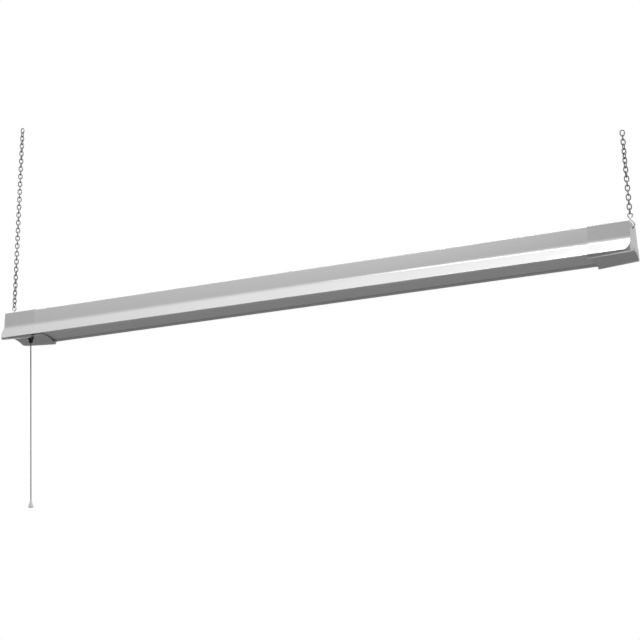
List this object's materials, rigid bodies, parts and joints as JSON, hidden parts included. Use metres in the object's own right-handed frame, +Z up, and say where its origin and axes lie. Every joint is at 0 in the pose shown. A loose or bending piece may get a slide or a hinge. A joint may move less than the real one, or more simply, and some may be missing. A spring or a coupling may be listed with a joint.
{
  "type": "hanging shop light",
  "caption": "Long sheet metal shop light with flared brims and an arched diffuser, hung from link chains by two wire hooks and switched by a pull cord.",
  "frame": {"origin": "on the line through the two points where the chains hang in their top links, over the middle of the light", "axes": "+X along the light, from the end with the pull switch to the other end, +Z up, +Y across the light towards its back"},
  "size_m": [1.2294, 0.095, 0.7671],
  "materials": {
    "housing": "satin silver-grey paint",
    "cap_plastic": "matte silver-grey moulding",
    "diffuser": "frosted, unlit",
    "tray_white": "matte white",
    "led_board": "white solder mask",
    "led_chip": "yellow phosphor",
    "white_plastic": "matte",
    "zinc": "zinc plated",
    "driver_box": "plain sheet",
    "green_board": "solder mask",
    "transformer": "yellow tape over a ferrite core",
    "capacitor": "sleeved can",
    "choke": "enamelled wire ring",
    "ground_green": "green",
    "black_wire": "insulated wire",
    "red_wire": "insulated wire",
    "black_rubber": "matte",
    "black_plastic": "matte",
    "brass": "spring brass",
    "dark_steel": "blackened",
    "cord_grey": "braided cord",
    "bell_white": "moulded",
    "chain_steel": "dull steel wire"
  },
  "bodies": {
    "ceiling_links": {"left_top_link": "chain_steel", "right_top_link": "chain_steel"},
    "chains": {"left_chain_edge_links": "chain_steel", "left_chain_face_links": "chain_steel", "right_chain_edge_links": "chain_steel", "right_chain_face_links": "chain_steel", "left_hook": "zinc", "right_hook": "zinc"},
    "fixture": {"housing_shell": "housing", "led_tray": "tray_white", "tray_spacers": "zinc", "tray_screws": "zinc", "top_screws": "zinc", "led_board_left": "led_board", "led_board_right": "led_board", "led_chips_left": "led_chip", "led_chips_right": "led_chip", "board_connector": "white_plastic", "board_screws": "zinc", "diffuser": "diffuser", "left_end_cap": "cap_plastic", "right_end_cap": "cap_plastic", "cap_screws": "zinc", "driver_base": "driver_box", "driver_cover": "driver_box", "driver_board": "green_board", "driver_transformer": "transformer", "driver_capacitors": "capacitor", "driver_choke": "choke", "driver_screws": "zinc", "terminal_block": "white_plastic", "terminal_screws": "zinc", "ground_screw": "ground_green", "ground_wire": "ground_green", "feed_wires": "black_wire", "switch_wires": "black_wire", "led_wires": "red_wire", "wire_grommet": "black_rubber", "inlet_bushing": "black_plastic", "inlet_locknut": "zinc", "switch_case": "black_plastic", "switch_lid": "black_plastic", "switch_contacts": "brass", "switch_nozzle": "dark_steel", "switch_nut": "dark_steel", "switch_spring": "zinc"},
    "pull": {"pull_plunger": "dark_steel", "pull_cord": "cord_grey", "pull_bell": "bell_white"},
    "rotor": {"switch_rotor": "white_plastic"}
  },
  "joints": [
    {"name": "chain_swing", "type": "hinge", "parent": "ceiling_links", "child": "chains", "pos_m": [-0.58869, 0, 0.10999], "axis": [0.983, 0, -0.1837], "range_deg": [-25, 25]},
    {"name": "fixture_tilt", "type": "hinge", "parent": "chains", "child": "fixture", "pos_m": [0, 0, -0.27285], "axis": [1, 0, 0], "range_deg": [-12, 12]},
    {"name": "switch_pull", "type": "slide", "parent": "fixture", "child": "pull", "axis": [0, 0, -1], "range_m": [0, 0.008], "stiffness_N_per_m": 400, "springref_m": -0.008, "deforming": ["switch_spring"]},
    {"name": "rotor_turn", "type": "hinge", "parent": "fixture", "child": "rotor", "pos_m": [-0.569, 0, -0.29255], "axis": [0, 0, 1], "range_deg": [0, 90]}
  ],
  "couplings": [
    {"joint": "rotor_turn", "follows": "switch_pull", "rad_per_m": 195}
  ]
}
